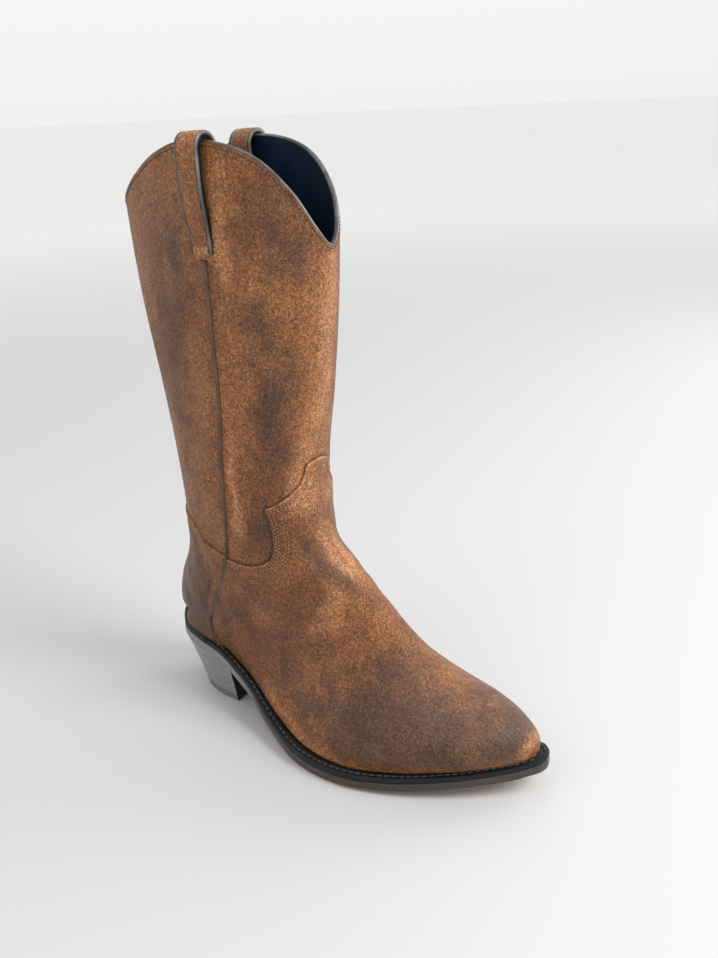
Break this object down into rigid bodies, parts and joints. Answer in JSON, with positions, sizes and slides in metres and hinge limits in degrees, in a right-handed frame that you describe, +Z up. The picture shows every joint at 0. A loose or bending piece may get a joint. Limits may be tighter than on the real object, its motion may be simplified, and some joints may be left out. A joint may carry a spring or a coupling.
{
  "type": "cowboy boot",
  "caption": "Right-foot western boot: pointed toe, tall scalloped shaft with pull straps, stitched welt and underslung stacked heel, in distressed brown leather.",
  "frame": {"origin": "on the ground, under the middle of the boot's bounding box", "axes": "+X to the toe, +Z up the leg, -Y the outer side of the foot, +Y the inner side"},
  "size_m": [0.3122, 0.1125, 0.3949],
  "materials": {
    "suede_leather": "distressed rough-out leather, waxed and burnished",
    "dark_lining": "smooth satin leather",
    "edge_leather": "smooth dark leather, slight shine",
    "sole_leather": "dark edge dressing, satin",
    "heel_leather": "stacked leather, dark edge dressing, satin",
    "top_lift_rubber": "matt",
    "board_leather": "natural vegetable-tanned leather",
    "cork": "ground cork and glue",
    "spring_steel": "rolled strip",
    "nail_brass": "plain",
    "thread": "waxed thread"
  },
  "bodies": {
    "root": {"outsole": "sole_leather", "welt": "edge_leather", "heel_rand": "edge_leather", "insole": "board_leather", "heel_sock": "dark_lining", "cork_filler": "cork", "shank": "spring_steel", "shank_cover": "board_leather", "heel_lift_1": "heel_leather", "heel_lift_2": "heel_leather", "heel_lift_3": "heel_leather", "heel_lift_4": "heel_leather", "heel_lift_5": "heel_leather", "top_lift": "top_lift_rubber", "heel_nails": "nail_brass", "counter_stiffener": "board_leather", "toe_puff": "board_leather", "vamp": "suede_leather", "counter_cover": "suede_leather", "front_shaft": "suede_leather", "rear_shaft": "suede_leather", "vamp_lining": "dark_lining", "heel_lining": "dark_lining", "front_lining": "dark_lining", "rear_lining": "dark_lining", "side_piping_outer": "edge_leather", "side_piping_inner": "edge_leather", "front_binding": "edge_leather", "rear_binding": "edge_leather", "pull_strap_outer": "suede_leather", "pull_strap_inner": "suede_leather", "strap_edging_outer": "edge_leather", "strap_edging_inner": "edge_leather", "strap_tab_outer": "suede_leather", "strap_tab_inner": "suede_leather", "welt_stitching": "thread"}
  },
  "joints": []
}
